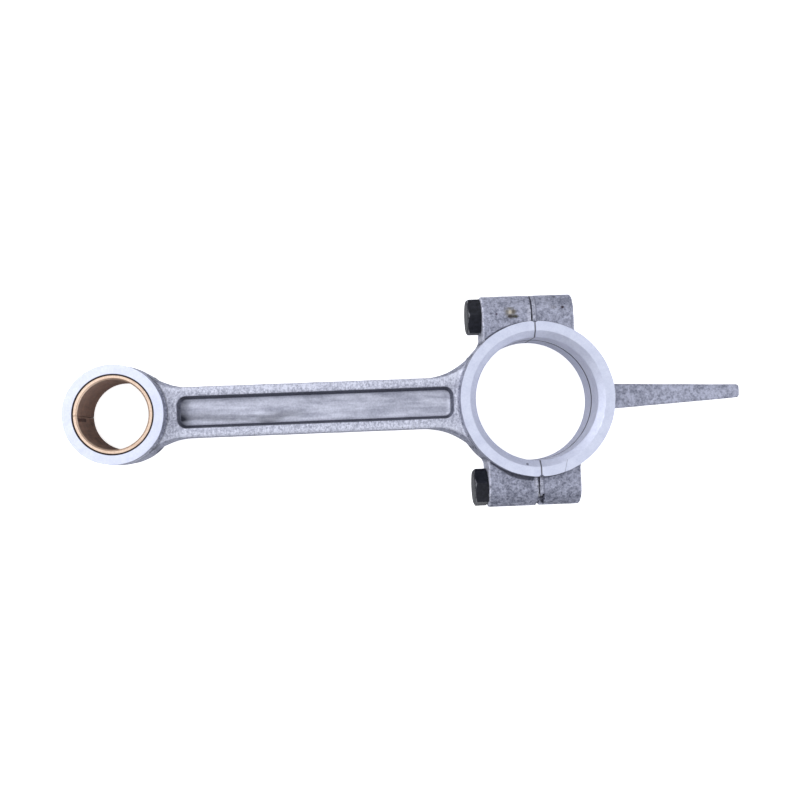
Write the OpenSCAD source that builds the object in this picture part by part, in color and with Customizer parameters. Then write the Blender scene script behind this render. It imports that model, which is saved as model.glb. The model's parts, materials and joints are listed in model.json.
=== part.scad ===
// Split connecting rod for a small splash-lubricated engine.
// Origin: centre of the crankpin bore, at the middle of the rod's width.
// +X runs along the rod through the cap to the tip of the oil dipper, +Z along both bores.

/* [Overall] */
// Distance between the centres of the crankpin bore and the wrist pin bore
centre_distance = 170; // [140:1:210]
// Width of the two machined ends, face to face
rod_width = 30; // [24:0.5:40]
// Draft of the cast sides of both ends, in degrees
casting_draft = 1.5; // [0:0.1:3]

/* [Big end] */
// Diameter of the crankpin bore
crank_bore_d = 50; // [40:0.5:64]
// Wall of the big end's ring at its machined faces
big_ring_wall = 6.5; // [5:0.25:9]
// Leg of the chamfer at each mouth of the crankpin bore
crank_chamfer = 2.6; // [0.4:0.1:3]
// Width of the oil groove that runs round the crankpin bore
oil_groove_w = 1.2; // [0.6:0.1:3]
// Depth of the oil groove
oil_groove_depth = 0.6; // [0.2:0.1:1]
// Leg of the bevel on the ring's outer edges at the joint
joint_bevel = 0.8; // [0.2:0.1:1.5]

/* [Small end] */
// Wall of the small end round the bush, at its machined faces
small_ring_wall = 4; // [3:0.25:8]
// Bore of the bush, for the wrist pin
pin_bore_d = 28; // [22:0.5:36]
// Wall of the bush
bush_wall = 2; // [1:0.25:4]
// How far each end of the bush sits below the rod's face
bush_recess = 0.2; // [0:0.1:1]
// Leg of the chamfers on the edges of the bush
bush_chamfer = 0.5; // [0.1:0.05:0.5]
// Leg of the chamfer at each mouth of the bush's seat
seat_chamfer = 0.2; // [0.1:0.05:1]
// Width of the split in the rolled bush
bush_split = 0.2; // [0.1:0.1:0.5]

/* [Shank] */
// Height of the shank, across the rod
shank_height = 21; // [16:0.5:26]
// Thickness of the shank over its flanges
shank_thickness = 19; // [14:0.5:22]
// Thickness of the core that flares into both ends
core_thickness = 12; // [10:0.5:14]
// Radius of the core's flare into each end
core_flare_r = 29; // [24:0.5:36]
// Radius of the flanges' flare into each end
flange_flare_r = 20; // [12:0.5:24]
// Height of the pocket in each side of the shank
pocket_height = 13.1; // [9:0.1:15]
// Depth of each pocket
pocket_depth = 4.5; // [2:0.25:5.5]
// Radius of the pocket's corners
pocket_corner_r = 3.8; // [1:0.1:4.5]
// Metal left between the pocket and the big end's ring
pocket_to_big_ring = 2.1; // [1:0.1:8]
// Metal left between the pocket and the small end's ring
pocket_to_small_ring = 4.2; // [1:0.1:8]

/* [Bolt bosses] */
// Metal left between the crankpin bore and each dowel
bore_to_dowel = 4.4; // [2:0.1:10]
// Metal left round each dowel in its boss
boss_wall = 2.4; // [1.5:0.1:5]
// Length of the rod's bosses, from the joint to the bolt head's seat
rod_boss_l = 20.6; // [16:0.1:25]
// Length of the cap's bosses, from the joint to their ends
cap_boss_l = 17.6; // [14:0.1:24]

/* [Bolts] */
// Thread diameter of the bolts
bolt_d = 9; // [6:0.5:11]
// Radial clearance of the bolt in the rod and in the dowels
bolt_clearance = 0.25; // [0.1:0.05:0.4]
// Radial clearance of the thread in the cap, as modelled
thread_clearance = 0.05; // [0.02:0.01:0.1]
// Width of the bolt's hexagon across its flats
hex_width = 14; // [12:0.5:17]
// Height of the bolt's head
head_height = 5.7; // [4:0.1:8]
// Length of thread inside the cap
thread_engagement = 15; // [8:0.5:17]
// Turn of the upper bolt's hexagon, in degrees
upper_head_turn = 1; // [-30:0.5:30]
// Turn of the lower bolt's hexagon, in degrees
lower_head_turn = 14; // [-30:0.5:30]

/* [Dowels] */
// Wall of the hollow dowels at the joint
dowel_wall = 1.25; // [0.75:0.05:2]
// Length of each dowel, half in the rod and half in the cap
dowel_length = 8; // [4:0.5:12]
// Radial clearance of each dowel in the cap
dowel_clearance = 0.03; // [0.01:0.01:0.1]
// Space past each end of a dowel
dowel_end_space = 0.3; // [0.1:0.1:1]

/* [Dipper] */
// Distance from the crankpin bore's centre to the dipper's tip
dipper_reach = 86.8; // [60:0.1:110]
// Height of the dipper where it leaves the ring
dipper_root_height = 10.8; // [6:0.1:14]
// Height of the dipper at its tip
dipper_tip_height = 5.5; // [3:0.1:6]
// Thickness of the dipper along the bores
dipper_thickness = 8; // [5:0.25:14]
// Radius of the tip's corners
dipper_tip_r = 1.2; // [0.4:0.1:1.4]
// How far the middle of the dipper's root sits above the rod's axis
dipper_root_offset = 0.2; // [-2:0.1:2]
// How far the middle of its tip sits above the rod's axis
dipper_tip_offset = 0.5; // [-2:0.1:2]

/* [Hidden] */

$fn = 96;
// Overshoot of a cut past the face that it opens
cut = 1;
half_width = rod_width / 2;
big_ring_d = crank_bore_d + 2 * big_ring_wall;
bush_od = pin_bore_d + 2 * bush_wall;
small_ring_d = bush_od + 2 * small_ring_wall;
bolt_hole_d = bolt_d + 2 * bolt_clearance;
dowel_od = bolt_hole_d + 2 * dowel_wall;
boss_d = dowel_od + 2 * boss_wall;
bolt_y = crank_bore_d / 2 + bore_to_dowel + dowel_od / 2;
// How far the circle of a bolt head's outer face lies inside the flats
head_face_inset = 0.4;
// Leg of the chamfer at the end of a bolt's thread
thread_chamfer = 0.8;
bush_length = rod_width - 2 * bush_recess;
flange_z = shank_thickness / 2;
// Ends of the pocket along the rod
pocket_near_x = -(big_ring_d / 2 + pocket_to_big_ring);
pocket_far_x = -(centre_distance - small_ring_d / 2 - pocket_to_small_ring);
draft_growth = half_width * tan(casting_draft);

cast_colour = "#a9a9b6";
bronze_colour = "#c99a6b";
bolt_colour = "#22242a";
dowel_colour = "#8f9196";

// A ring's blank: its sides lean out from both faces to the middle.
module drafted_blank(face_d) {
    face_r = face_d / 2;
    mid_r = face_r + draft_growth;
    rotate_extrude()
        polygon([
            [0, -half_width], [face_r, -half_width], [mid_r, 0],
            [face_r, half_width], [0, half_width]
        ]);
}

// A cutter for a bore with a chamfer at both of its mouths.
module chamfered_bore(bore_d, chamfer, length) {
    r = bore_d / 2;
    h = length / 2;
    rotate_extrude()
        polygon([
            [0, -h - cut], [r + chamfer + cut, -h - cut], [r, -h + chamfer],
            [r, h - chamfer], [r + chamfer + cut, h + cut], [0, h + cut]
        ]);
}

// The flare that runs out of one side of the shank into a ring at x = 0, the shank towards +X.
// Its arc is tangent to the shank's side and to the ring.
module flare(ring_r, flare_r, thickness) {
    arc_y = shank_height / 2 + flare_r;
    arc_x = sqrt(pow(ring_r + flare_r, 2) - pow(arc_y, 2));
    touch = ring_r / (ring_r + flare_r);
    difference() {
        linear_extrude(height = thickness, center = true)
            polygon([[0, 0], [arc_x, 0], [arc_x, shank_height / 2], [arc_x * touch, arc_y * touch]]);
        translate([arc_x, arc_y, 0])
            cylinder(r = flare_r, h = thickness + 2 * cut, center = true);
    }
}

// Both flares of one end.
module flares(ring_r, flare_r, thickness) {
    for (side = [0, 1])
        mirror([0, side, 0]) flare(ring_r, flare_r, thickness);
}

// One slab of the shank, with its flares into both rings.
module shank_slab(flare_r, thickness) {
    translate([-centre_distance, -shank_height / 2, -thickness / 2])
        cube([centre_distance, shank_height, thickness]);
    translate([-centre_distance, 0, 0])
        flares(small_ring_d / 2, flare_r, thickness);
    mirror([1, 0, 0])
        flares(big_ring_d / 2, flare_r, thickness);
}

// The pocket's outline is cut into the shank from the face at +Z.
module pocket() {
    length = pocket_near_x - pocket_far_x;
    r = pocket_corner_r;
    translate([pocket_far_x, -pocket_height / 2, flange_z - pocket_depth]) {
        translate([r, 0, 0])
            cube([length - 2 * r, pocket_height, pocket_depth + half_width]);
        translate([0, r, 0])
            cube([length, pocket_height - 2 * r, pocket_depth + half_width]);
        for (x = [r, length - r], y = [r, pocket_height - r])
            translate([x, y, 0])
                cylinder(r = r, h = pocket_depth + half_width);
    }
}

// Both bosses of one half of the big end, with the slab that joins them to the ring.
module bosses(length) {
    for (y = [-bolt_y, bolt_y])
        translate([0, y, 0])
            rotate([0, 90, 0])
                cylinder(d = boss_d, h = length);
    translate([0, -bolt_y, -boss_d / 2])
        cube([length, 2 * bolt_y, boss_d]);
}

// A round cut along X at both bolt axes.
module bolt_axis_cuts(d, from_x, to_x) {
    for (y = [-bolt_y, bolt_y])
        translate([from_x, y, 0])
            rotate([0, 90, 0])
                cylinder(d = d, h = to_x - from_x);
}

// The crankpin bore with its chamfers, its oil groove and the bevels at the joint.
module crank_bore_cut() {
    chamfered_bore(crank_bore_d, crank_chamfer, rod_width);
    cylinder(d = crank_bore_d + 2 * oil_groove_depth, h = oil_groove_w, center = true);
    for (y = [-1, 1])
        translate([0, y * (big_ring_d / 2 + draft_growth), 0])
            rotate([0, 0, 45])
                cube([joint_bevel * sqrt(2), joint_bevel * sqrt(2), rod_width + 2 * cut], center = true);
}

// Everything on the far side of the joint from the half that is kept.
module beyond_joint(side) {
    reach = 2 * big_ring_d;
    translate([side * reach / 2, 0, 0])
        cube([reach, reach, 2 * rod_width], center = true);
}

module rod_body() {
    color(cast_colour)
        difference() {
            union() {
                difference() {
                    drafted_blank(big_ring_d);
                    beyond_joint(1);
                }
                mirror([1, 0, 0]) bosses(rod_boss_l);
                difference() {
                    union() {
                        shank_slab(core_flare_r, core_thickness);
                        shank_slab(flange_flare_r, shank_thickness);
                    }
                    pocket();
                    mirror([0, 0, 1]) pocket();
                }
                translate([-centre_distance, 0, 0]) drafted_blank(small_ring_d);
            }
            crank_bore_cut();
            translate([-centre_distance, 0, 0])
                chamfered_bore(bush_od, seat_chamfer, rod_width);
            bolt_axis_cuts(bolt_hole_d, -rod_boss_l - cut, cut);
            bolt_axis_cuts(dowel_od, -dowel_length / 2 - dowel_end_space, cut);
        }
}

// The dipper is a tapered bar, rounded at the two corners of its tip.
module dipper() {
    root_x = crank_bore_d / 2 + big_ring_wall / 2;
    root_top = dipper_root_offset + dipper_root_height / 2;
    round_x = dipper_reach - dipper_tip_r;
    tip_top = dipper_tip_offset + dipper_tip_height / 2;
    tip_bottom = tip_top - dipper_tip_height;
    translate([0, 0, -dipper_thickness / 2])
        linear_extrude(height = dipper_thickness)
            union() {
                polygon([
                    [root_x, root_top - dipper_root_height], [round_x, tip_bottom],
                    [round_x, tip_bottom + dipper_tip_r], [dipper_reach, tip_bottom + dipper_tip_r],
                    [dipper_reach, tip_top - dipper_tip_r], [round_x, tip_top - dipper_tip_r],
                    [round_x, tip_top], [root_x, root_top]
                ]);
                for (y = [tip_bottom + dipper_tip_r, tip_top - dipper_tip_r])
                    translate([round_x, y])
                        circle(r = dipper_tip_r);
            }
}

module bearing_cap() {
    color(cast_colour)
        difference() {
            union() {
                difference() {
                    drafted_blank(big_ring_d);
                    beyond_joint(-1);
                }
                bosses(cap_boss_l);
                dipper();
            }
            crank_bore_cut();
            bolt_axis_cuts(bolt_d + 2 * thread_clearance, -cut, cap_boss_l + cut);
            bolt_axis_cuts(dowel_od + 2 * dowel_clearance, -cut, dowel_length / 2 + dowel_end_space);
        }
}

// The bush is a rolled strip: its ends meet at a fine split on the side away from the shank.
module small_end_bush() {
    outer_r = bush_od / 2;
    inner_r = pin_bore_d / 2;
    h = bush_length / 2;
    c = bush_chamfer;
    color(bronze_colour)
        translate([-centre_distance, 0, 0])
            difference() {
                rotate_extrude()
                    polygon([
                        [inner_r, -h + c], [inner_r + c, -h], [outer_r - c, -h], [outer_r, -h + c],
                        [outer_r, h - c], [outer_r - c, h], [inner_r + c, h], [inner_r, h - c]
                    ]);
                translate([-outer_r - cut, -bush_split / 2, -h - cut])
                    cube([outer_r, bush_split, bush_length + 2 * cut]);
            }
}

// A hexagon bolt along X: its head seats at x = -rod_boss_l and its thread points to +X.
module bolt(y, turn) {
    tip_x = thread_engagement;
    r = bolt_d / 2;
    corner_r = hex_width / 2 / cos(30);
    // The outer face is a circle a little inside the flats, with a 30 degree cone round it.
    face_r = hex_width / 2 - head_face_inset;
    translate([0, y, 0])
        rotate([0, 90, 0])
            rotate([0, 0, turn]) {
                translate([0, 0, -rod_boss_l - cut])
                    rotate_extrude()
                        polygon([
                            [0, 0], [r, 0], [r, rod_boss_l + cut + tip_x - thread_chamfer],
                            [r - thread_chamfer, rod_boss_l + cut + tip_x], [0, rod_boss_l + cut + tip_x]
                        ]);
                translate([0, 0, -rod_boss_l - head_height])
                    intersection() {
                        cylinder(r = corner_r, h = head_height, $fn = 6);
                        rotate_extrude()
                            polygon([
                                [0, 0], [face_r, 0], [corner_r + cut, (corner_r + cut - face_r) * tan(30)],
                                [corner_r + cut, head_height], [0, head_height]
                            ]);
                    }
            }
}

module bolt_upper() {
    color(bolt_colour) bolt(bolt_y, upper_head_turn);
}

module bolt_lower() {
    color(bolt_colour) bolt(-bolt_y, lower_head_turn);
}

// A hollow dowel round the bolt at the joint.
module dowel(y) {
    color(dowel_colour)
        translate([-dowel_length / 2, y, 0])
            rotate([0, 90, 0])
                difference() {
                    cylinder(d = dowel_od, h = dowel_length);
                    translate([0, 0, -cut])
                        cylinder(d = bolt_hole_d, h = dowel_length + 2 * cut);
                }
}

module dowel_upper() {
    dowel(bolt_y);
}

module dowel_lower() {
    dowel(-bolt_y);
}

rod_body();
bearing_cap();
small_end_bush();
bolt_upper();
bolt_lower();
dowel_upper();
dowel_lower();
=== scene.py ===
import json
import math

import bpy
import numpy as np
from mathutils import Euler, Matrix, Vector


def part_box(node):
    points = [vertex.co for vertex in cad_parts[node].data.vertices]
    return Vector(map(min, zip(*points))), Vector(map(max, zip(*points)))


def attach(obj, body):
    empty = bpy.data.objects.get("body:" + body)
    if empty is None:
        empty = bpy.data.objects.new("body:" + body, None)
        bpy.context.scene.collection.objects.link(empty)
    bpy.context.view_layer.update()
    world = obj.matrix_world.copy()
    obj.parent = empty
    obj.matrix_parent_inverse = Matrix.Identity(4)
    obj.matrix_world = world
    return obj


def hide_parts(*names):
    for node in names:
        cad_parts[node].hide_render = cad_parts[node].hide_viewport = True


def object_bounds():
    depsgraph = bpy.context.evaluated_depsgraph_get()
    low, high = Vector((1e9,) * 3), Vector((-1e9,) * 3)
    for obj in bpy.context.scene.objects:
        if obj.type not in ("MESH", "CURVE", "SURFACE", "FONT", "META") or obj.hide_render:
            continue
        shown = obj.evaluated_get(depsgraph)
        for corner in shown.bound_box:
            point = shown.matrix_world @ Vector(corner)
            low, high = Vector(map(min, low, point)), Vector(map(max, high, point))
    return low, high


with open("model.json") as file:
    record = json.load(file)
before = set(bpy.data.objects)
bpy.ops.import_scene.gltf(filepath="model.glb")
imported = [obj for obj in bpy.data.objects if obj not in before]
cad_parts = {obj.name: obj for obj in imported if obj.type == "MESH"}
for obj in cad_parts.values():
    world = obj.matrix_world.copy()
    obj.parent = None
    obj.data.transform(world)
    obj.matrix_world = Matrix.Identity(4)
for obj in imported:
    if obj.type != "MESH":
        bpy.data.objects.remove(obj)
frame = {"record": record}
cad_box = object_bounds()

# -----------------------------------------------------------------------------------------------------------
# The rod: one aluminium alloy die casting, drafted from a parting plane at half its width, with a pocket in
# each side of the shank. The faces of both ends, the bores, the bolt holes and the joint with the cap were
# machined afterwards, so their edges are sharp.

MM = 0.001
mounts = {mount["name"]: mount for mount in frame["record"]["mounts"]}
crank_r = mounts["crankpin_bore"]["dims"]["r_mm"]
centre_distance = -mounts["wrist_pin_bore"]["pos_m"][0] / MM
rod_high = np.array(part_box("rod_body")[1]) / MM
cap_high = np.array(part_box("bearing_cap")[1]) / MM
bush_low, bush_high = (np.array(corner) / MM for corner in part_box("small_end_bush"))
bolt_low, bolt_high = (np.array(corner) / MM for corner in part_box("bolt_upper"))
dowel_low, dowel_high = (np.array(corner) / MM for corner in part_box("dowel_upper"))

half_width = rod_high[2]
draft = math.tan(math.radians(1.5))
big_r = 31.5                     # the ring of the big end, at its machined faces
small_r = 20.0                   # the ring of the small end, at its machined faces
seat_r = (bush_high[1] - bush_low[1]) / 2
mouth_chamfer = 2.6
groove_half_width = 0.6
groove_depth = 0.6
shank_half_height = 10.5
flange_z = 9.5
core_z = 6.0
core_flare_r = 29.0
flange_flare_r = 20.0
pocket_ends = np.array([-145.8, -33.6])
pocket_half_height = 6.55
pocket_corner_r = 3.8
pocket_floor_z = 5.0
pocket_slope = math.tan(math.radians(14))
bolt_y = (bolt_high[1] + bolt_low[1]) / 2
boss_r = rod_high[1] - bolt_y
rod_boss_l = 20.6
cap_boss_l = 17.6
dowel_r = (dowel_high[1] - dowel_low[1]) / 2
dowel_depth = dowel_high[0] + 0.3
bolt_hole_r = 4.75
notch_along = 1.25               # the bevel at the ring's edges beside the joint: along the rod
notch_deep = 0.95                # and into the ring
cast_waviness = 0.14             # how far the as-cast skin wanders, from 0.03 outwards to 0.11 inwards


def step(low, high, value):
    """0 below low, 1 above high, and the smooth cubic 3t^2 - 2t^3 between them."""
    t = np.clip((value - low) / (high - low), 0, 1)
    return t * t * (3 - 2 * t)


def join(a, b, radius):
    """The union of two fields, with a fillet of that radius where their skins meet."""
    into_a, into_b = np.maximum(radius - a, 0), np.maximum(radius - b, 0)
    return np.maximum(radius, np.minimum(a, b)) - np.hypot(into_a, into_b)


def common(a, b, radius):
    """The intersection of two fields, with its edge rounded to that radius."""
    past_a, past_b = np.maximum(radius + a, 0), np.maximum(radius + b, 0)
    return np.minimum(-radius, np.maximum(a, b)) + np.hypot(past_a, past_b)


def ring_field(x, y, z, centre_x, face_r):
    """A disc between the two machined faces whose side leans out towards the parting plane by the draft."""
    side = np.hypot(x - centre_x, y) - face_r - draft * (half_width - np.abs(z))
    return np.maximum(side, np.abs(z) - half_width - 1)


def outline_field(x, y, z):
    """The plan of the shank and its flares: a strip, and at each end an arc tangent to the strip and ring.
    The arc's centre C lies flare_r above the strip and flare_r outside the ring. Between the directions from
    C to its two touch points the distance is flare_r - |p - C|."""
    height = np.abs(y)
    strip = np.maximum(height - shank_half_height, np.maximum(x, -centre_distance - x))
    flare_r = core_flare_r + (flange_flare_r - core_flare_r) * step(core_z - 1.5, flange_z, np.abs(z))
    field = strip
    for along, ring_r in ((-x, big_r), (x + centre_distance, small_r)):
        ring_r = ring_r + draft * (half_width - np.abs(z))
        centre_y = shank_half_height + flare_r
        centre_x = np.sqrt((ring_r + flare_r) ** 2 - centre_y ** 2)
        across, up = along - centre_x, height - centre_y
        between = (across < 0) & (up * centre_x < across * centre_y)
        field = np.minimum(field, np.where(between, flare_r - np.hypot(across, up), 1e3))
    return field


def waviness(x, y, z):
    """A slow wander of the cast skin, from 0 to 1: products of sines with wavelengths of 6 to 23 mm."""
    slow = np.sin(0.31 * x + 0.9) * np.sin(0.43 * y + 0.27 * z + 2.1)
    quick = np.sin(0.83 * x + 0.52 * y + 1.3) * np.sin(0.71 * z - 0.64 * y + 0.4)
    return 0.5 + 0.28 * slow + 0.22 * quick


def joint_gap(y, z):
    """How far each half stands back from the joint plane: hardly at all on the ring, a little on the bosses,
    where the edges are rough. The lower boss is the rougher one. The roughness is a sum of three sines."""
    rough = np.sin(1.9 * y + 0.8) + 0.8 * np.sin(3.7 * y + 1.3 * z + 2.0) + 0.5 * np.sin(6.1 * y - 2.2 * z)
    boss = step(big_r, big_r + 0.6, np.abs(y))
    return 0.03 + boss * (0.17 + np.where(y < 0, 0.07, 0.015) * (rough + 1.2))


def bosses_field(x, y, z, away, length):
    """Both bolt bosses of one half and the slab between them: a stadium round the two bolt axes, carried
    along the rod from the joint to the bosses' rounded ends."""
    stadium = np.hypot(np.maximum(np.abs(y) - bolt_y, 0), z) - boss_r
    worn = 0.25 + 0.7 * step(37.5, 43, -y)
    return common(common(stadium, away - length, 0.9), joint_gap(y, z) - away, worn)


def pocket_field(x, y, z):
    """The pocket in each side of the shank: a rectangle with round corners whose walls lean in towards its
    floor."""
    middle, half_length = pocket_ends.mean(), np.ptp(pocket_ends) / 2
    past_x = np.abs(x - middle) - half_length + pocket_corner_r
    past_y = np.abs(y) - pocket_half_height + pocket_corner_r
    outside = np.hypot(np.maximum(past_x, 0), np.maximum(past_y, 0))
    rectangle = outside + np.minimum(np.maximum(past_x, past_y), 0) - pocket_corner_r
    wall = (rectangle + (flange_z - np.abs(z)) * pocket_slope) / math.hypot(1, pocket_slope)
    return common(wall, pocket_floor_z - np.abs(z), 1.6)


def machine(field, x, y, z, away, tapped_r):
    """Cuts what both halves have: the crankpin bore with its chamfered mouths and oil groove, the joint plane
    with the bevels at the ring's edges, the bolt hole and the seat of the dowel."""
    r = np.hypot(x, y)
    bore = np.minimum(r - crank_r, (r - crank_r - np.abs(z) + half_width - mouth_chamfer) * math.sqrt(0.5))
    groove = np.maximum(r - crank_r - groove_depth, np.abs(z) - groove_half_width)
    bolt_axis = np.hypot(np.abs(y) - bolt_y, z)
    holes = np.minimum(bolt_axis - tapped_r, np.maximum(bolt_axis - dowel_r, away - dowel_depth))
    ring_edge = big_r + draft * (half_width - np.abs(z))
    bevel = (away / notch_along + (ring_edge - np.abs(y)) / notch_deep - 1) * 0.75
    bevel = np.maximum(np.maximum(bevel, np.abs(y) - ring_edge - 0.4), boss_r + 0.1 - np.abs(z))
    cuts = np.minimum(np.minimum(np.minimum(bore, groove), holes), bevel)
    return np.maximum(np.maximum(field, -cuts), joint_gap(y, z) - away)


def rod_field(x, y, z):
    """The casting of the rod, machined, as a field: the signed distance to its skin in millimetres, which is
    zero on the skin. Its blends run into each other in every direction, and no sheet of two parameters
    covers that."""
    away = -x
    slab = common(outline_field(x, y, z) + draft * np.abs(z), np.abs(z) - flange_z, 1.2)
    rings = np.minimum(ring_field(x, y, z, 0, big_r), ring_field(x, y, z, -centre_distance, small_r))
    field = join(slab, rings, 1.5 * step(core_z, flange_z - 1, np.abs(z)))
    field = join(field, bosses_field(x, y, z, away, rod_boss_l), 1.8)
    field = field + cast_waviness * (waviness(x, y, z) - 0.2)
    field = common(field, -pocket_field(x, y, z), 0.4)
    seat = np.hypot(x + centre_distance, y) - seat_r
    field = np.maximum(np.maximum(field, -seat), np.abs(z) - half_width)
    return machine(field, x, y, z, away, bolt_hole_r)


def levels(*stretches):
    """Grid levels in millimetres: stretches of (start, end, spacing) laid end to end."""
    parts = [np.linspace(a, b, max(2, round((b - a) / s) + 1))[:-1] for a, b, s in stretches]
    return np.concatenate(parts + [[stretches[-1][1]]])


def without_pinches(inside):
    """Fills one more corner wherever a cell's side has two solid corners across from each other and two empty
    ones between, because the skin would be pinched to a line there."""
    pinched = True
    while pinched:
        pinched = False
        for first, second in ((0, 1), (0, 2), (1, 2)):
            views = []
            for ahead, beside in ((0, 0), (1, 0), (0, 1), (1, 1)):
                part = [slice(None)] * 3
                part[first] = slice(ahead, inside.shape[first] - 1 + ahead)
                part[second] = slice(beside, inside.shape[second] - 1 + beside)
                views.append(inside[tuple(part)])
            crossed = (views[0] == views[3]) & (views[1] == views[2]) & (views[0] != views[1])
            pinched = pinched or bool(crossed.any())
            views[0] |= crossed
            views[1] |= crossed
    return inside


def crossings_of(field, grid, inside, axis):
    """Where the skin crosses the grid lines along one axis: the spots, found by halving, the field's slopes
    there, and for each the four cells round its line, in their order round the outward direction."""
    first, last = [slice(None)] * 3, [slice(None)] * 3
    first[axis], last[axis] = slice(None, -1), slice(1, None)
    index = np.argwhere(inside[tuple(first)] != inside[tuple(last)])
    low = np.stack([grid[k][index[:, k]] for k in range(3)], 1)
    high = low.copy()
    high[:, axis] = grid[axis][index[:, axis] + 1]
    leaving = inside[tuple(index.T)]
    for _ in range(14):
        middle = (low + high) / 2
        same = (field(*middle.T) < 0) == leaving
        low[same], high[~same] = middle[same], middle[~same]
    spots = (low + high) / 2
    slopes = np.stack([field(*(spots + d).T) - field(*(spots - d).T) for d in 0.01 * np.eye(3)], 1)
    slopes /= np.linalg.norm(slopes, axis=1, keepdims=True) + 1e-12
    u, v = [k for k in range(3) if k != axis]
    corners = []
    for du, dv in ((1, 1), (0, 1), (0, 0), (1, 0)):
        cell = index.copy()
        cell[:, u] -= du
        cell[:, v] -= dv
        corners.append(np.ravel_multi_index(cell.T, [len(axis_levels) - 1 for axis_levels in grid]))
    corners = np.stack(corners, 1)
    flip = leaving == (axis == 1)
    corners[flip] = corners[flip][:, ::-1]
    return spots, slopes, corners


def skin_of(field, grid):
    """The skin of a field as quads, by dual contouring. Each cell that the skin passes gets one point, the
    one nearest to the planes of its crossings, which puts it on an edge or a corner where there is one. Each
    crossing gives one quad, between the points of the four cells round it."""
    inside = without_pinches(field(*np.meshgrid(*grid, indexing="ij", sparse=True)) < 0)
    spots, slopes, quads = (np.concatenate(found) for found in zip(
        *(crossings_of(field, grid, inside, axis) for axis in range(3))))
    spots, slopes = np.repeat(spots, 4, 0), np.repeat(slopes, 4, 0)
    used, owner = np.unique(quads.ravel(), return_inverse=True)
    share = np.bincount(owner)
    mean = np.stack([np.bincount(owner, spots[:, k]) / share for k in range(3)], 1)
    reach = ((spots - mean[owner]) * slopes).sum(1)
    pull = np.stack([np.bincount(owner, slopes[:, k] * reach) for k in range(3)], 1)
    spread = [[np.bincount(owner, slopes[:, j] * slopes[:, k]) for k in range(3)] for j in range(3)]
    spread = np.moveaxis(np.array(spread), 2, 0) + 0.03 * np.eye(3)
    offset = np.linalg.solve(spread, pull[:, :, None])[:, :, 0]
    cell = np.stack(np.unravel_index(used, [len(axis_levels) - 1 for axis_levels in grid]), 1)
    low = np.stack([grid[k][cell[:, k]] for k in range(3)], 1)
    high = np.stack([grid[k][cell[:, k] + 1] for k in range(3)], 1)
    margin = 0.01 * (high - low)
    points = np.clip(mean + offset, low + margin, high - margin)
    return points, np.searchsorted(used, quads)


def make_piece(name, points, faces, material, sharp_angle=33):
    """A mesh object at the origin from points in millimetres, smooth but for edges sharper than the angle."""
    low, high = (np.array(corner) / MM for corner in cad_box)
    mesh = bpy.data.meshes.new(name)
    mesh.from_pydata((np.clip(points, low, high) * MM).tolist(), [], [list(face) for face in faces])
    mesh.validate()
    mesh.polygons.foreach_set("use_smooth", np.ones(len(mesh.polygons), bool))
    mesh.set_sharp_from_angle(angle=math.radians(sharp_angle))
    mesh.materials.append(material)
    piece = bpy.data.objects.new(name, mesh)
    bpy.context.scene.collection.objects.link(piece)
    return piece


class Signal:
    """One output of a shader's nodes. Arithmetic on it adds Math nodes."""

    def __init__(self, finish, socket):
        self.finish, self.socket = finish, socket

    def math(self, operation, *terms):
        return self.finish.node("ShaderNodeMath", dict(enumerate(terms)), operation=operation)

    def __add__(self, other):
        return self.math("ADD", self, other)

    def __radd__(self, other):
        return self.math("ADD", other, self)

    def __sub__(self, other):
        return self.math("SUBTRACT", self, other)

    def __rsub__(self, other):
        return self.math("SUBTRACT", other, self)

    def __mul__(self, other):
        return self.math("MULTIPLY", self, other)

    def __rmul__(self, other):
        return self.math("MULTIPLY", other, self)

    def __truediv__(self, other):
        return self.math("DIVIDE", self, other)

    def __rtruediv__(self, other):
        return self.math("DIVIDE", other, self)

    def __pow__(self, other):
        return self.math("POWER", self, other)

    def __abs__(self):
        return self.math("ABSOLUTE", self)

    def __gt__(self, other):
        return self.math("GREATER_THAN", self, other)

    def __lt__(self, other):
        return self.math("LESS_THAN", self, other)

    def either(self, other):
        return self.math("MAXIMUM", self, other)

    def both(self, other):
        return self.math("MINIMUM", self, other)

    def ramp(self, low, high, start=0.0, end=1.0):
        """Runs smoothly from start to end as this goes from low to high."""
        values = {"Value": self, "From Min": low, "From Max": high, "To Min": start, "To Max": end}
        return self.finish.node("ShaderNodeMapRange", values, interpolation_type="SMOOTHSTEP")


class Shading:
    """The nodes of one material or of the world."""

    def __init__(self, owner):
        owner.use_nodes = True
        self.tree = owner.node_tree
        self.tree.nodes.clear()

    def node(self, kind, values=None, out=0, **settings):
        """Adds a node: its settings first, then the values or links of its sockets. Gives one output."""
        node = self.tree.nodes.new(kind)
        for key, setting in settings.items():
            setattr(node, key, setting)
        for key, value in (values or {}).items():
            if isinstance(value, Signal):
                self.tree.links.new(value.socket, node.inputs[key])
            else:
                node.inputs[key].default_value = value
        return None if out is None else Signal(self, node.outputs[out])

    def parts(self, vector):
        """The three coordinates of a vector."""
        first = self.node("ShaderNodeSeparateXYZ", {0: vector})
        return [Signal(self, socket) for socket in first.socket.node.outputs]


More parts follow.
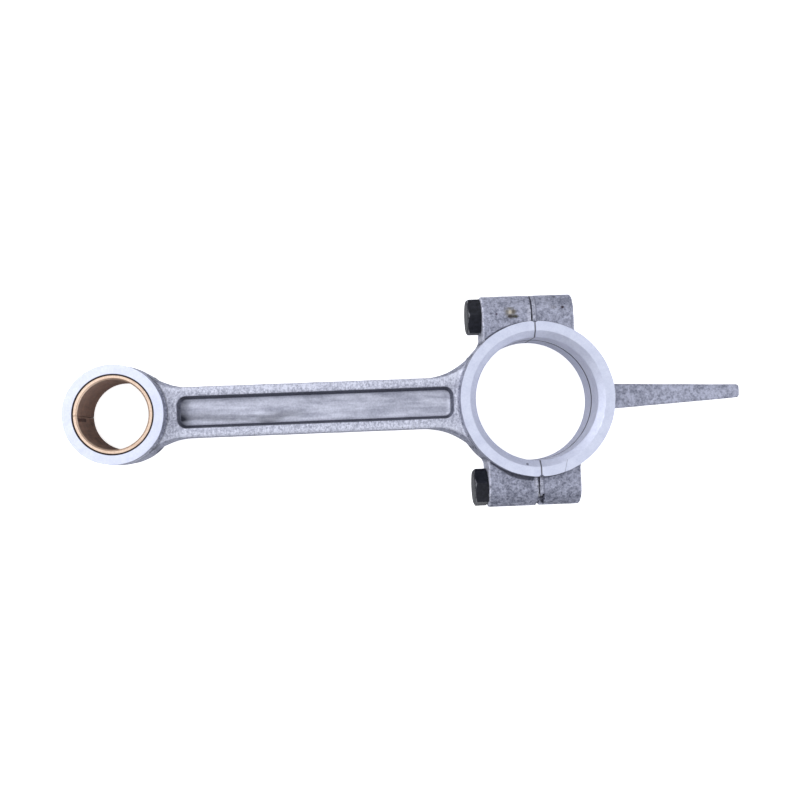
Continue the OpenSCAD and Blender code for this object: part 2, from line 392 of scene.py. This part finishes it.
class Finish(Shading):
    """A procedural material: its nodes read the piece's own place, in millimetres."""

    def __init__(self, name):
        self.material = bpy.data.materials.new(name)
        super().__init__(self.material)
        self.shader = self.node("ShaderNodeBsdfPrincipled").socket.node
        self.node("ShaderNodeOutputMaterial", {0: Signal(self, self.shader.outputs[0])}, out=None)
        metres = self.node("ShaderNodeTexCoord", out="Object")
        self.place = self.node("ShaderNodeVectorMath", {0: metres, 3: 1 / MM}, operation="SCALE")

    def axes(self):
        """The three coordinates of the place."""
        return self.parts(self.place)

    def grain(self, size, detail=2.0, roughness=0.5, stretch=None, seed=0.0):
        """Noise from 0 to 1 whose blotches are about size across. A stretch under 1 draws them out."""
        place = self.place
        if stretch:
            place = self.node("ShaderNodeMapping", {"Vector": place, "Scale": stretch})
        values = {"Vector": place, "W": seed, "Scale": 1 / size, "Detail": detail, "Roughness": roughness}
        return self.node("ShaderNodeTexNoise", values, noise_dimensions="4D")

    def spots(self, spacing, seed=0.0):
        """Distance from the nearest of many scattered points, 0 on the point and about 0.6 between them."""
        values = {"Vector": self.place, "W": seed, "Scale": 1 / spacing}
        return self.node("ShaderNodeTexVoronoi", values, voronoi_dimensions="4D")

    def blot(self, at_x, at_y, half_length, half_height, ragged=(0.3, 1.2)):
        """1 inside an ellipse on the side that faces +Z, 0 outside, with a ragged edge."""
        x, y, z = self.axes()
        rough = self.grain(0.9, 2, 0.6, seed=at_x) * 1.4 - 0.7
        far = (((x - at_x) / half_length) ** 2.0 + ((y - at_y) / half_height) ** 2.0) ** 0.5 + rough * 0.7
        return far.ramp(ragged[1], ragged[0] - 0.01) * (z > 0)

    def mix(self, share, first, second):
        """Between two colours."""
        values = {0: share, 6: first, 7: second}
        return self.node("ShaderNodeMix", values, out=2, data_type="RGBA")

    def bump(self, height):
        """The surface's direction after raising it by a height in millimetres."""
        return self.node("ShaderNodeBump", {"Strength": 1.0, "Distance": MM, "Height": height})

    def set(self, **values):
        """Sets or links the shader's sockets, with _ for a space in their names."""
        for key, value in values.items():
            socket = self.shader.inputs[key.replace("_", " ")]
            if isinstance(value, Signal):
                self.tree.links.new(value.socket, socket)
            else:
                socket.default_value = value
        return self.material


# Each mark: its place along and across the rod, half its length and height, its strength and its colour.
casting_marks = (
    (-8.7, 35.9, 2.9, 2.5, 0.6, (0.2, 0.175, 0.12, 1)),
    (-10.2, 36.2, 0.8, 1.3, 0.5, (0.13, 0.11, 0.07, 1)),
    (-7.4, 36.3, 0.9, 1.2, 0.6, (0.1, 0.08, 0.045, 1)),
    (-8.9, 36.2, 1.0, 1.1, 0.75, (0.66, 0.6, 0.5, 1)),
    (-9.2, 37.9, 2.0, 0.5, 0.55, (0.14, 0.125, 0.09, 1)),
    (-8.8, 34.4, 1.5, 0.9, 0.85, (0.03, 0.02, 0.016, 1)),
    (-6.8, 34.3, 1.7, 0.8, 0.85, (0.045, 0.04, 0.018, 1)),
    (-14.5, 35.5, 0.6, 0.55, 0.9, (0.05, 0.03, 0.06, 1)),
    (-16.8, 35.8, 0.9, 0.5, 0.6, (0.09, 0.09, 0.12, 1)),
    (12.9, 37.6, 0.85, 0.8, 0.95, (0.025, 0.012, 0.02, 1)),
    (10.2, 42.4, 1.2, 0.6, 0.8, (0.06, 0.06, 0.08, 1)),
    (9.2, 37.6, 1.6, 0.9, 0.35, (0.16, 0.14, 0.13, 1)),
    (17.2, -40.4, 0.5, 0.5, 0.8, (0.06, 0.06, 0.1, 1)),
)


def cast_alloy(name, seed):
    """Die-cast aluminium alloy, mottled and pitted, its machined faces and bores brighter and finer. Dirt and
    painted shade darken the corners round the rings and the pocket's walls, dirt has stayed in the joint, and
    edges are rubbed bright, the bosses' ends with a painted highlight as well. The dipper is paler than the
    rest. The upper bosses are painted lighter, as painted light, and the outer side of the lower bosses
    darker, as painted shade."""
    finish = Finish(name)
    x, y, z = finish.axes()
    height, depth_z = abs(y), abs(z)
    r_big = (x * x + y * y) ** 0.5
    r_small = ((x + centre_distance) ** 2.0 + y * y) ** 0.5
    off_big = r_big - (half_width - depth_z) * draft - big_r
    off_small = r_small - (half_width - depth_z) * draft - small_r
    bolt_axis = ((height - bolt_y) ** 2.0 + z * z) ** 0.5
    face = depth_z > half_width - 0.05
    bored = (r_big < crank_r + mouth_chamfer + 0.05).either(r_small < seat_r + 0.1)
    bored = bored.either(bolt_axis < dowel_r + 0.1).either(abs(x) < 0.06)
    machined = face.either(bored)
    bosses_middle, bosses_reach = (cap_boss_l - rod_boss_l) / 2, (cap_boss_l + rod_boss_l) / 2
    boss = (abs(x - bosses_middle) < bosses_reach + 0.3) * (off_big > 0.02)
    dipper = x > big_r + 0.3

    # The cast skin: a mottle in three sizes, with pits, glints, and drag marks across the shank's flanges.
    broad = finish.grain(5, 2, 0.5, seed=seed).ramp(0.3, 0.7)
    blotch = finish.grain(1.7, 2, 0.6, seed=seed + 3).ramp(0.36, 0.64)
    speck = finish.grain(0.75, 2, 0.6, seed=seed + 7).ramp(0.38, 0.62)
    drag = finish.grain(0.8, 3, 0.65, (1.0, 0.5, 0.5), seed + 4).ramp(0.38, 0.62)
    brushed = finish.grain(3.2, 3, 0.6, (0.16, 1.1, 1.0), seed + 10).ramp(0.32, 0.68)
    pits = finish.spots(2.2, seed + 1).ramp(0.16, 0.07) * finish.grain(3, seed=seed).ramp(0.46, 0.52)
    glints = finish.spots(1.9, seed + 6).ramp(0.15, 0.07) * finish.grain(4, seed=seed + 8).ramp(0.5, 0.56)
    flange = depth_z.ramp(8.7, 9.2) * depth_z.ramp(flange_z + 0.5, flange_z + 0.2)
    flange = flange * (1 - boss.either(dipper)) * off_big.ramp(0.3, 1.0)
    floor = (depth_z < pocket_floor_z + 0.7) * (height < pocket_half_height - 0.6) * (x > pocket_ends[0])
    floor = floor * (x < pocket_ends[1])
    mottle = broad * 0.2 + blotch * 0.45 + speck * 0.35
    outward = height.ramp(7.0, 10.5) * flange * 0.3
    # Painted light and shade: all above y = 20 a little lighter, the outer side of the lower bosses darker.
    # The dipper is paler in its own tone.
    mottle = mottle + dipper * 0.16 + (y > 20) * 0.07 - y.ramp(-36, -42) * 0.16
    tone = mottle + (drag * 0.45 + speck * 0.55 - mottle) * flange + outward
    tone = tone + (brushed * 0.6 + broad * 0.2 + speck * 0.2 - tone) * floor
    bright_part = flange.either(floor)
    dim = finish.mix(tone, (0.13, 0.138, 0.185, 1), (0.5, 0.515, 0.63, 1))
    clear = finish.mix(tone, (0.33, 0.34, 0.42, 1), (0.72, 0.735, 0.84, 1))
    skin = finish.mix(bright_part, dim, clear)
    skin = finish.mix(pits * (1 - floor) * 0.7, skin, (0.06, 0.06, 0.085, 1))
    skin = finish.mix(glints * (1 - floor) * 0.6, skin, (0.85, 0.86, 0.94, 1))

    # Painted shade with dirt: in the corner round each ring and on the pocket's walls. Dirt in smears on the
    # pocket's floor, and painted shade on that floor at its end by the small end.
    # The dark band in the corner round each ring, widest on the rod's lower boss, is painted shade with dirt.
    low_rod = (y < -18) * x.ramp(-1.6, -2.6) * x.ramp(-18, -9) * boss
    reach = low_rod * 1.1 + boss * 0.35 + 0.45 + (blotch - 0.5) * 0.3
    corner = (reach - off_big) * (off_big > 0.03) * (depth_z < flange_z + 0.4) * (x < cap_boss_l + 0.1)
    corner = corner.ramp(0, 0.5) * 0.8
    small_corner = off_small.ramp(1.3, 0.35) * (off_small > 0.03) * (depth_z < flange_z + 0.4)
    small_corner = small_corner * depth_z.ramp(3, 8, 0.2, 0.75)
    # The pocket's walls are darkened with painted shade and dirt, less at its two ends.
    wall = depth_z.ramp(pocket_floor_z + 0.35, pocket_floor_z + 1.0) * depth_z.ramp(9.35, 8.8)
    wall = wall * (x > pocket_ends[0] - 0.5) * (x < pocket_ends[1] + 0.5)
    wall = wall * (height < pocket_half_height + 0.3)
    wall = wall * (0.95 - x.ramp(-143.5, -145.2) * 0.35 - x.ramp(-36.5, -34.5) * 0.3)
    smear_and_end_shade = finish.grain(6, 2, 0.5, (0.3, 1.3, 1.0), seed + 2).ramp(0.5, 0.68)
    # The floor at the pocket's end by the small end is darkened too, as painted shade.
    smear_and_end_shade = smear_and_end_shade * y.ramp(1.5, -3.5) * x.ramp(-70, -100) * 0.55 + x.ramp(-139.5, -144.5) * 0.6
    darkening = corner.either(small_corner).either(smear_and_end_shade * floor)
    skin = finish.mix(darkening, skin, (0.028, 0.03, 0.045, 1))
    skin = finish.mix(wall * (0.75 + blotch * 0.2), skin, (0.045, 0.047, 0.066, 1))

    # Rubbed edges: the bosses' ends, worn and with a painted highlight, and a strip of each boss along the
    # joint.
    rub = blotch * 0.5 + speck * 0.5
    # The bright rim at the bosses' ends is wear with a painted highlight.
    ends = (x.ramp(-rod_boss_l + 0.85, -rod_boss_l + 0.5)).either(x.ramp(cap_boss_l - 0.7, cap_boss_l - 0.3))
    strip = x.ramp(-2.6, -1.2) * (x < 0) * height.ramp(40, 36) * 0.5 + x.ramp(1.8, 1.5) * (x > 0) * 0.38
    rubbed_and_highlit = ((ends * 0.75).either(strip)) * boss * (rub * 0.9 + 0.1)
    skin = finish.mix(rubbed_and_highlit, skin, (0.84, 0.85, 0.95, 1))
    lip = abs(x).ramp(0.42, 0.22) * bolt_axis.ramp(boss_r - 0.7, boss_r - 0.4)
    skin = finish.mix(lip * boss * 0.9, skin, (0.03, 0.03, 0.045, 1))
    line = boss * abs(x - 1.95).ramp(0.32, 0.1) * rub.ramp(0.2, 0.6) * 0.6
    skin = finish.mix(line, skin, (0.08, 0.08, 0.12, 1))

    # Marks on this one: an oil stain on the rod's upper boss, and single pits on both upper bosses.
    for at_x, at_y, half_length, half_height, strength, colour in casting_marks:
        skin = finish.mix(finish.blot(at_x, at_y, half_length, half_height) * strength, skin, colour)

    # Machined metal: a faint film and fine flecks, duller in the bores, with painted shade along the oil
    # groove and dark joint lines.
    film = finish.grain(4, 3, 0.6, seed=seed + 5).ramp(0.3, 0.7)
    fleck = finish.grain(0.7, 2, 0.6, seed=seed + 9).ramp(0.3, 0.7)
    shade = film * 0.55 + fleck * 0.45
    flat = finish.mix(shade, (0.62, 0.65, 0.79, 1), (0.74, 0.77, 0.9, 1))
    bore = finish.mix(shade, (0.54, 0.555, 0.67, 1), (0.68, 0.7, 0.82, 1))
    mouth = (depth_z > half_width - mouth_chamfer) * (r_big < big_r) * (1 - face)
    cut = finish.mix(face.either(mouth * 0.65), bore, flat)
    # The dark band along the oil groove, and a little way either side of it, is painted shade.
    groove = depth_z.ramp(groove_half_width + 0.45, groove_half_width + 0.1) * bored
    groove = groove * (r_big > crank_r - 0.2) * (r_big < crank_r + 2)
    under_skin = (half_width - depth_z).both(r_big - crank_r)
    under_skin = under_skin.both((r_big - crank_r - depth_z + half_width - mouth_chamfer) * 0.7)
    seam = abs(x).ramp(0.42, 0.14) * (r_big > crank_r - 1) * (r_big < big_r + 1) * under_skin.ramp(0.5, 0.2)
    scratch = abs(x * 0.97 + (y + 25) * -0.235 - 10.4).ramp(0.2, 0.05) * (y < -25) * (z > 0) * (x < 14)
    ring_dirt = r_small.ramp(seat_r + 0.32, seat_r + 0.12) * (r_small > seat_r - 0.05)
    lines = (groove * 0.85).either(seam * 0.85).either(scratch * 0.4).either(ring_dirt * 0.95)
    cut = finish.mix(lines, cut, (0.04, 0.035, 0.045, 1))
    cut = finish.mix(finish.blot(-5.5, -26.3, 0.5, 0.5, (1.0, 1.0)) * 0.7, cut, (0.05, 0.05, 0.075, 1))

    turned = finish.node("ShaderNodeTexNoise", {"W": r_big * 3.3, "Scale": 1.0}, noise_dimensions="1D")
    raised = (tone * 0.11 - pits * 0.12) * (1 - floor * 0.6)
    return finish.set(
        Base_Color=finish.mix(machined, skin, cut),
        Metallic=machined * 0.15 + 0.7 - bored * 0.3,
        Roughness=machined * -0.16 + (tone * -0.1 + 0.62),
        Normal=finish.bump(raised + (turned * 0.012 - raised) * machined),
    )


# Finest at the joint. No level lies on a machined face.
rod_grid = (
    levels((-191.3, -146.3, 0.66), (-146.3, -44.3, 0.86), (-44.3, -1.7, 0.58), (-1.7, 0.3, 0.2)),
    levels((-44.63, 44.63, 0.61)),
    levels((-15.53, -9.9, 0.66), (-9.9, -1.0, 0.68), (-1.0, 1.0, 0.33), (1.0, 9.9, 0.68), (9.9, 15.53, 0.66)),
)
cast_rod = cast_alloy("cast_rod_alloy", 2.0)
rod = make_piece("rod_casting", *skin_of(rod_field, rod_grid), cast_rod)
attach(rod, "rod")
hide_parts("rod_body")

# -----------------------------------------------------------------------------------------------------------
# The cap: the other half of the big end, cast in the same alloy with its oil dipper, a tapered bar that
# throws oil up from the sump. The bolts screw into its bosses.

dipper_tip_x = cap_high[0]
dipper_root_x = 28.2
dipper_root = (0.2, 5.4)         # how high its middle line is and half its height, at the root and at the tip
dipper_tip = (0.5, 2.75)
dipper_half_thickness = 4.0
tapped_r = 4.55


def dipper_field(x, y, z):
    """A bar whose middle line and half height run straight from root to tip, with every edge rounded."""
    along = (x - dipper_root_x) / (dipper_tip_x - dipper_root_x)
    middle = dipper_root[0] + (dipper_tip[0] - dipper_root[0]) * along
    half_height = dipper_root[1] + (dipper_tip[1] - dipper_root[1]) * along
    side = np.abs(y - middle) - half_height
    face = np.abs(z) - dipper_half_thickness + 0.02 * np.abs(y - middle)
    return common(common(side, x - dipper_tip_x, 1.3), face, 1.1)


def chip_field(x, y, z):
    """Where the lower boss has broken away beside the joint: the corner past three wavy planes."""
    along = x - 2.25 - 0.16 * np.sin(2.9 * y + 0.7) - 0.1 * np.sin(4.4 * z)
    across = 39.1 + 0.4 * np.sin(2.3 * x + 0.9 * z) + y
    down = 3.4 + 0.35 * np.sin(1.9 * x + 1.2 * y) + 0.5 * np.cos(1.6 * y) - z
    return np.maximum(np.maximum(along, across), down)


def cap_field(x, y, z):
    """The casting of the cap, machined."""
    field = join(ring_field(x, y, z, 0, big_r), bosses_field(x, y, z, x, cap_boss_l), 1.8)
    field = join(field, np.maximum(dipper_field(x, y, z), dipper_root_x - x), 2.2)
    field = np.maximum(field + cast_waviness * (waviness(x + 60, y, z) - 0.2), np.abs(z) - half_width)
    return machine(np.maximum(field, -chip_field(x, y, z)), x, y, z, x, tapped_r)


cap_grid = (
    levels((-0.3, 3.1, 0.2), (3.1, 34.3, 0.5), (34.3, 87.2, 0.55)),
    levels((-44.63, 44.63, 0.53)),
    levels((-15.53, -9.9, 0.6), (-9.9, -1.0, 0.56), (-1.0, 1.0, 0.33), (1.0, 9.9, 0.56), (9.9, 15.53, 0.6)),
)
cap = make_piece("cap_casting", *skin_of(cap_field, cap_grid), cast_alloy("cast_cap_alloy", 11.0))
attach(cap, "cap")
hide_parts("bearing_cap")

# -----------------------------------------------------------------------------------------------------------
# The small end's bush: a strip of bronze rolled round until its ends meet at a fine split, pressed into the
# rod and bored in place. Its bore has gone brown, and its turned ends are bright.

bush_bore_r = mounts["wrist_pin_bore"]["dims"]["r_mm"]
bush_chamfer = 0.5
split_half_width = 0.1


def loop_skin(rings, closed):
    """Quads over a grid of points, rings by points. Each ring of points is a closed loop. The row of rings is
    closed on itself too, or is left open at its first and its last ring."""
    count, around = rings.shape[:2]
    ring, spot = np.meshgrid(np.arange(count if closed else count - 1), np.arange(around), indexing="ij")
    after, beside = (ring + 1) % count, (spot + 1) % around
    corners = [(ring, spot), (after, spot), (after, beside), (ring, beside)]
    quads = np.stack([at_ring * around + at_spot for at_ring, at_spot in corners], -1)
    return rings.reshape(-1, 3), quads.reshape(-1, 4).tolist()


def fill_in(corners, spacing):
    """A closed outline with extra points on its long sides, about that far apart."""
    corners = np.array(corners, float)
    parts = []
    for start, end in zip(corners, np.roll(corners, -1, 0)):
        count = max(1, round(np.linalg.norm(end - start) / spacing))
        parts.append(start + (end - start) * np.arange(count)[:, None] / count)
    return np.concatenate(parts)


def bush_skin():
    """The wall's outline, chamfered at its four corners, carried round the bore from one lip of the split to
    the other: x and y are r times the cosine and sine of the angle. A face closes each lip."""
    inner, outer, half = bush_bore_r, seat_r, bush_high[2]
    c = bush_chamfer
    outline = fill_in([
        (inner, -half + c), (inner + c, -half), (outer - c, -half), (outer, -half + c),
        (outer, half - c), (outer - c, half), (inner + c, half), (inner, half - c),
    ], 1.2)
    lip = split_half_width / outer
    turn = np.linspace(-math.pi + lip, math.pi - lip, 193)[:, None]
    r, z = outline[None, :, 0], outline[None, :, 1]
    rings = np.stack([r * np.cos(turn) - centre_distance, r * np.sin(turn), z + 0 * turn], -1)
    points, faces = loop_skin(rings, False)
    first_lip = list(range(len(outline)))
    last_lip = [len(points) - 1 - spot for spot in first_lip]
    return points, faces + [first_lip, last_lip]


def bronze(name):
    """Sintered bronze: peach where it was turned at the ends, brown and streaked in the bore, whose upper
    part is painted lighter as painted light, with dirt packed in the groove round its outer edge."""
    finish = Finish(name)
    x, y, z = finish.axes()
    r = ((x + centre_distance) ** 2.0 + y * y) ** 0.5
    end_face = abs(z).ramp(bush_high[2] - 0.75, bush_high[2] - 0.4)
    bore = (1 - end_face) * (r < bush_bore_r + 0.15)
    blotch = finish.grain(4.5, 4, 0.6, seed=4.0).ramp(0.32, 0.68)
    speck = finish.grain(0.5, 3, 0.7, seed=6.0).ramp(0.35, 0.65)
    streak = finish.grain(1.1, 3, 0.6, (1.0, 1.0, 0.12), seed=1.0).ramp(0.35, 0.65)
    # The bore's upper part is painted lighter, as painted light.
    painted_top_light = y.ramp(-14, 12)
    mottle = blotch * 0.5 + streak * 0.3 + speck * 0.2
    dark = finish.mix(mottle, (0.11, 0.066, 0.054, 1), (0.46, 0.29, 0.21, 1))
    dark = finish.mix(painted_top_light * 0.5, dark, (0.62, 0.42, 0.34, 1))
    dark = finish.mix(finish.blot(-183.8, -1.5, 0.7, 0.7, (1.0, 1.0)) * 0.8, dark, (0.05, 0.008, 0.004, 1))
    bright = finish.mix(blotch * 0.4 + speck * 0.6, (0.66, 0.47, 0.35, 1), (0.86, 0.68, 0.54, 1))
    line = r.ramp(bush_bore_r + 0.62, bush_bore_r + 0.5) * r.ramp(bush_bore_r + 0.3, bush_bore_r + 0.42)
    bright = finish.mix(line * 0.5, bright, (0.4, 0.23, 0.12, 1))
    darkening = r.ramp(seat_r - 0.5, seat_r - 0.3)
    bright = finish.mix(darkening, bright, (0.04, 0.018, 0.014, 1))
    return finish.set(
        Base_Color=finish.mix(bore, bright, dark),
        Metallic=(1 - darkening) * (bore * -0.35 + 0.85),
        Roughness=bore * 0.14 + (speck * 0.1 + 0.32),
        Normal=finish.bump(streak * 0.012 + speck * 0.008),
    )


bush = make_piece("bush_wall", *bush_skin(), bronze("bush_bronze_finish"))
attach(bush, "rod")
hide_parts("small_end_bush")

# -----------------------------------------------------------------------------------------------------------
# The two bolts: cold-headed steel with rolled threads, blackened. The head is a hexagon whose corners were
# turned away by a 30 degree cone at its outer face, with a washer face under it. They screw into the cap.

across_flats = 14.0
head_face_r = 6.6
washer_face_r = 6.85
washer_face_h = 0.3
thread_r = 4.5
thread_pitch = 1.0
thread_depth = 0.55
thread_length = 24.0
plain_r = 4.4
tip_chamfer = 0.8


def bolt_skin(y, turn_degrees):
    """One surface of turn and travel. Along the head the radius at each angle is the lesser of the hexagon's
    and the cone's, then of the hexagon's and the washer face's. Then come the plain shank and the thread,
    whose radius falls and rises once a pitch and once a turn. Both ends close on a single point."""
    seat, outer, tip = -rod_boss_l, bolt_low[0], bolt_high[0]
    cone_travel = np.linspace(outer, outer + 1.1, 15)
    head = np.concatenate([cone_travel, np.linspace(outer + 1.3, seat - washer_face_h, 12)])
    under = np.array([seat - washer_face_h, seat, seat])
    shank = np.array([seat + 0.4, seat + 2, tip - thread_length - 0.6, tip - thread_length])
    thread = np.arange(tip - thread_length + 0.1, tip, thread_pitch / 10)
    travel = np.concatenate([head, under, shank, thread, [tip]])
    part = np.repeat([0, 1, 2, 3, 4], [len(head), len(under), len(shank), len(thread), 1])
    around = 144
    turn = np.arange(around) / around * 2 * math.pi
    from_corner = (turn + math.pi / 6) % (math.pi / 3) - math.pi / 6
    hexagon = across_flats / 2 / np.cos(math.pi / 6 - np.abs(from_corner))
    s, t = travel[:, None], turn[None, :]
    cone = head_face_r + (s - outer) / math.tan(math.radians(30))
    head_r = np.minimum(hexagon[None, :], cone)
    washer = np.minimum(hexagon[None, :], washer_face_r) + 0 * s
    washer[len(head) + 2] = plain_r
    phase = (s - tip) / thread_pitch - t / (2 * math.pi)
    ridge = np.abs((phase % 1.0) - 0.5) * 2
    profile = np.clip(ridge * 1.25 - 0.12, 0, 1)
    fade = step(tip - thread_length, tip - thread_length + 1.5, s)
    thread_surface = thread_r - thread_depth * profile * fade
    thread_surface = np.minimum(thread_surface, thread_r - tip_chamfer + (tip - s))
    radius = np.choose(part[:, None], [head_r, washer, plain_r, thread_surface, thread_r - tip_chamfer - 0.1])
    angle = t + math.radians(turn_degrees)
    points = np.stack([s + 0 * t, y + radius * np.sin(angle), radius * np.cos(angle)], -1)
    points, faces = loop_skin(points, False)
    poles = np.array([[outer, y, 0], [tip, y, 0]])
    spot = np.arange(around)
    after = (spot + 1) % around
    last_ring = len(points) - around
    outer_fan = np.stack([0 * spot + len(points), spot, after], 1)
    tip_fan = np.stack([0 * spot + len(points) + 1, last_ring + after, last_ring + spot], 1)
    return np.concatenate([points, poles]), faces + outer_fan.tolist() + tip_fan.tolist()


def black_oxide(name):
    """Blackened steel with an oily sheen. The turned cone at the head's outer face is rubbed back to grey in
    rings, most of all along its edge with the flats."""
    finish = Finish(name)
    x, y, z = finish.axes()
    reach = ((abs(y) - bolt_y) ** 2.0 + z * z) ** 0.5
    blotch = finish.grain(1.6, 4, 0.6, seed=8.0).ramp(0.3, 0.7)
    speck = finish.grain(0.35, 3, 0.6, seed=5.0).ramp(0.35, 0.65)
    under_cone = (x - bolt_low[0]) * (1 / math.tan(math.radians(30))) + head_face_r - reach
    cone = under_cone.ramp(0.22, 0.05) * x.ramp(bolt_low[0] + 1.7, bolt_low[0] + 1.5)
    edge = under_cone.ramp(0.35, 0.1) * x.ramp(bolt_low[0] + 0.15, bolt_low[0] + 0.45)
    rings = finish.node("ShaderNodeTexNoise", {"W": reach * 2.2, "Scale": 1.0}, noise_dimensions="1D")
    streak = finish.grain(2.2, 3, 0.6, (1.0, 0.7, 0.35), 3.0).ramp(0.5, 0.62)
    worn = cone * (rings.ramp(0.5, 0.7) * streak * 0.6 + edge * blotch * 0.55)
    coat = finish.mix(blotch, (0.005, 0.006, 0.009, 1), (0.018, 0.019, 0.027, 1))
    return finish.set(
        Base_Color=finish.mix(worn, coat, (0.36, 0.36, 0.38, 1)),
        Metallic=worn * 0.8,
        Specular_IOR_Level=0.22,
        Roughness=speck * 0.12 + 0.36,
        Normal=finish.bump(speck * 0.01 + blotch * 0.01),
    )


bolt_finish = black_oxide("black_oxide_finish")
for where, side, turn_degrees in (("upper", 1, 1.0), ("lower", -1, 14.0)):
    bolt = make_piece(f"{where}_bolt_steel", *bolt_skin(side * bolt_y, turn_degrees), bolt_finish, 25)
    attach(bolt, f"{where}_bolt")
    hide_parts(f"bolt_{where}")

# -----------------------------------------------------------------------------------------------------------
# The two dowels: short hollow pins of ground steel round the bolts, pressed into the rod. They show only when
# the cap is off, and they bring it back to the same place each time.

dowel_bore_r = bolt_hole_r
dowel_corner = 0.5


def dowel_skin(y):
    """The pin's wall with its outer corners rounded off, carried round the bolt's axis."""
    half, c = dowel_high[0], dowel_corner
    outline = fill_in([
        (dowel_bore_r, -half), (dowel_r - c, -half), (dowel_r - 0.15, -half + 0.2), (dowel_r, -half + c),
        (dowel_r, half - c), (dowel_r - 0.15, half - 0.2), (dowel_r - c, half), (dowel_bore_r, half),
    ], 1.0)
    turn = (np.arange(96) / 96 * 2 * math.pi)[:, None]
    r, x = outline[None, :, 0], outline[None, :, 1]
    return loop_skin(np.stack([x + 0 * turn, y + r * np.cos(turn), r * np.sin(turn)], -1), True)


def ground_steel(name):
    """Hardened steel, ground: fine scratches round the pin."""
    finish = Finish(name)
    x, y, z = finish.axes()
    across = {"W": x * 9.0, "Scale": 1.0, "Detail": 3.0}
    scratch = finish.node("ShaderNodeTexNoise", across, noise_dimensions="1D")
    speck = finish.grain(0.6, 3, 0.6, seed=3.0).ramp(0.3, 0.7)
    return finish.set(
        Base_Color=finish.mix(speck, (0.36, 0.36, 0.38, 1), (0.55, 0.55, 0.58, 1)),
        Metallic=1.0,
        Roughness=speck * 0.1 + 0.24,
        Normal=finish.bump(scratch * 0.01),
    )


dowel_finish = ground_steel("ground_steel_finish")
for where, side in (("upper", 1), ("lower", -1)):
    dowel = make_piece(f"{where}_dowel_pin", *dowel_skin(side * bolt_y), dowel_finish)
    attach(dowel, "rod")
    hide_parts(f"dowel_{where}")

# -----------------------------------------------------------------------------------------------------------
# The studio: the rod lies on a plain white table in a white room, under a wide soft light to the left. The
# table also glows, to the camera alone, so hardly any shadow shows on it. The camera looks almost straight
# down.

camera_place = (-77.2, -16.5, 445.3)
camera_tilt = (-0.0417, 0.0494, 0.0378)
camera_lens = 48.37
table_half_side = 3.0
table_drop = 0.05                # how far the table lies under the rod, so that the two don't share a plane

table_mesh = bpy.data.meshes.new("table")
table_corners = [(-1, -1), (1, -1), (1, 1), (-1, 1)]
table_z = -(half_width + table_drop) * MM
table_points = [(a * table_half_side, b * table_half_side, table_z) for a, b in table_corners]
table_mesh.from_pydata(table_points, [], [(0, 1, 2, 3)])
table_white = Finish("table_white")
seen = table_white.node("ShaderNodeLightPath", out="Is Camera Ray")
table_mesh.materials.append(table_white.set(
    Base_Color=(0.8, 0.8, 0.81, 1),
    Roughness=0.9,
    Emission_Color=table_white.mix(seen, (0, 0, 0, 1), (1, 1, 1, 1)),
    Emission_Strength=0.85,
))
table = bpy.data.objects.new("table", table_mesh)
bpy.context.scene.collection.objects.link(table)


def soft_light(name, place, size, watts):
    """A square area light that faces the rod's middle."""
    lamp = bpy.data.lights.new(name, "AREA")
    lamp.size, lamp.energy = size, watts
    light = bpy.data.objects.new(name, lamp)
    light.location = place
    light.rotation_euler = (Vector((-0.05, 0, 0)) - light.location).to_track_quat("-Z", "Y").to_euler()
    bpy.context.scene.collection.objects.link(light)


soft_light("wide_light", (-0.85, 0.35, 0.95), 0.9, 3.5)

# The room is brightest along the rod's length and from its upper left to its lower right.
world = bpy.data.worlds.new("white_room")
room = Shading(world)
to_right, to_back, upwards = room.parts(room.node("ShaderNodeTexCoord", out="Generated"))
along = (to_right * to_right - to_back * to_back) * 0.34
glow = along - to_right * to_back - to_right * 0.1 + to_back * 0.1 + upwards * 0.1 + 0.9
glow = glow.either(room.node("ShaderNodeLightPath", out="Is Camera Ray") * 1.2)
sky = room.node("ShaderNodeBackground", {"Color": (0.93, 0.95, 1.0, 1), "Strength": glow})
room.node("ShaderNodeOutputWorld", {0: sky}, out=None)
bpy.context.scene.world = world
bpy.context.scene.view_settings.view_transform = "Standard"

camera = bpy.data.objects.new("camera", bpy.data.cameras.new("camera"))
camera.data.sensor_width = 36
camera.data.lens = camera_lens
camera.data.clip_start, camera.data.clip_end = 0.01, 50
camera.location = [value * MM for value in camera_place]
camera.rotation_euler = Euler(camera_tilt, "XYZ").to_matrix().inverted().to_euler()
bpy.context.scene.collection.objects.link(camera)
bpy.context.scene.camera = camera
